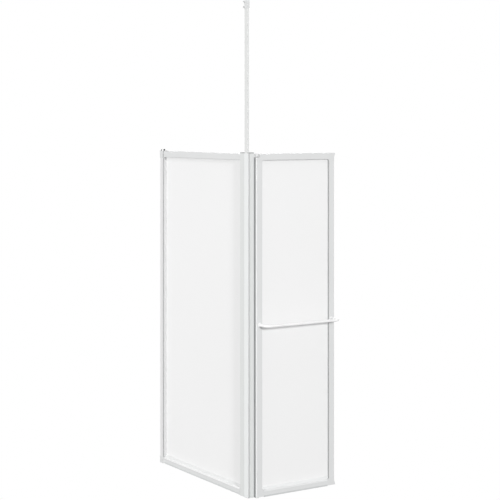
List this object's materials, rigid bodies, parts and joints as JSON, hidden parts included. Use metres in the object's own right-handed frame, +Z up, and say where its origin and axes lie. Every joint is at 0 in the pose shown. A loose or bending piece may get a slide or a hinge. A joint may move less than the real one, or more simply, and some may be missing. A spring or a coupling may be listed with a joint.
{
  "type": "bath screen",
  "caption": "Corner bath screen: fixed framed panel, corner post with a ceiling pole, and a framed hinged door with a towel rail; plain translucent panes.",
  "frame": {"origin": "centre of the corner post's foot, on the bath rim", "axes": "+Z up, +Y along the fixed panel to the wall, +X along the closed door, bath towards +X and +Y"},
  "size_m": [0.4302, 0.813, 2.026],
  "materials": {
    "frame_coating": "satin",
    "post_coating": "satin",
    "guide_coating": "satin",
    "cap_moulding": "satin",
    "pole_coating": "satin",
    "rail_coating": "gloss",
    "white_casting": "satin",
    "white_moulding": "satin",
    "white_strip": "satin",
    "sill_moulding": "satin",
    "satin_acrylic": "satin",
    "grey_gasket": "matte",
    "grey_seal": "matte",
    "dark_plastic": "satin",
    "grey_screw": "satin",
    "screw_steel": "satin",
    "bearing_plastic": "satin"
  },
  "bodies": {
    "screen": {"ceiling_pole": "pole_coating", "ceiling_socket": "white_moulding", "corner_post": "post_coating", "hinge_arm_screws": "screw_steel", "hinge_bottom_arm": "white_casting", "hinge_bottom_pin": "screw_steel", "hinge_top_arm": "white_casting", "hinge_top_pin": "screw_steel", "pole_glider": "bearing_plastic", "pole_guide": "guide_coating", "post_foot_cap": "white_moulding", "post_screws": "screw_steel", "post_seal": "grey_seal", "post_top_cap": "cap_moulding", "side_bottom_rail": "frame_coating", "side_bottom_seal": "grey_seal", "side_corner_bottom_post": "white_moulding", "side_corner_bottom_wall": "white_moulding", "side_corner_top_post": "white_moulding", "side_corner_top_wall": "white_moulding", "side_frame_screws": "screw_steel", "side_gasket_inner": "grey_gasket", "side_gasket_outer": "grey_gasket", "side_pane": "satin_acrylic", "side_post_stile": "frame_coating", "side_sill": "sill_moulding", "side_top_rail": "frame_coating", "side_wall_stile": "frame_coating", "socket_screws": "grey_screw", "wall_cap_screws": "dark_plastic", "wall_profile": "frame_coating", "wall_profile_foot_cap": "white_moulding", "wall_profile_screws": "screw_steel", "wall_profile_top_cap": "white_moulding"},
    "door": {"door_bottom_rail": "frame_coating", "door_bottom_seal": "grey_seal", "door_corner_bottom_free": "white_moulding", "door_corner_bottom_hinge": "white_moulding", "door_corner_top_free": "white_moulding", "door_corner_top_hinge": "white_moulding", "door_frame_screws": "screw_steel", "door_free_stile": "frame_coating", "door_gasket_inner": "grey_gasket", "door_gasket_outer": "grey_gasket", "door_hinge_seal": "grey_seal", "door_hinge_stile": "frame_coating", "door_hinge_strip": "white_strip", "door_pane": "satin_acrylic", "door_sill": "sill_moulding", "door_top_rail": "frame_coating", "hinge_bottom_bush": "bearing_plastic", "hinge_top_bush": "bearing_plastic", "towel_rail": "rail_coating", "towel_rail_flanges": "rail_coating", "towel_rail_screws": "screw_steel"}
  },
  "joints": [
    {"name": "door_swing", "type": "hinge", "parent": "screen", "child": "door", "pos_m": [0.02385, -0.0392, 0], "axis": [0, 0, -1], "range_deg": [0, 90]}
  ]
}
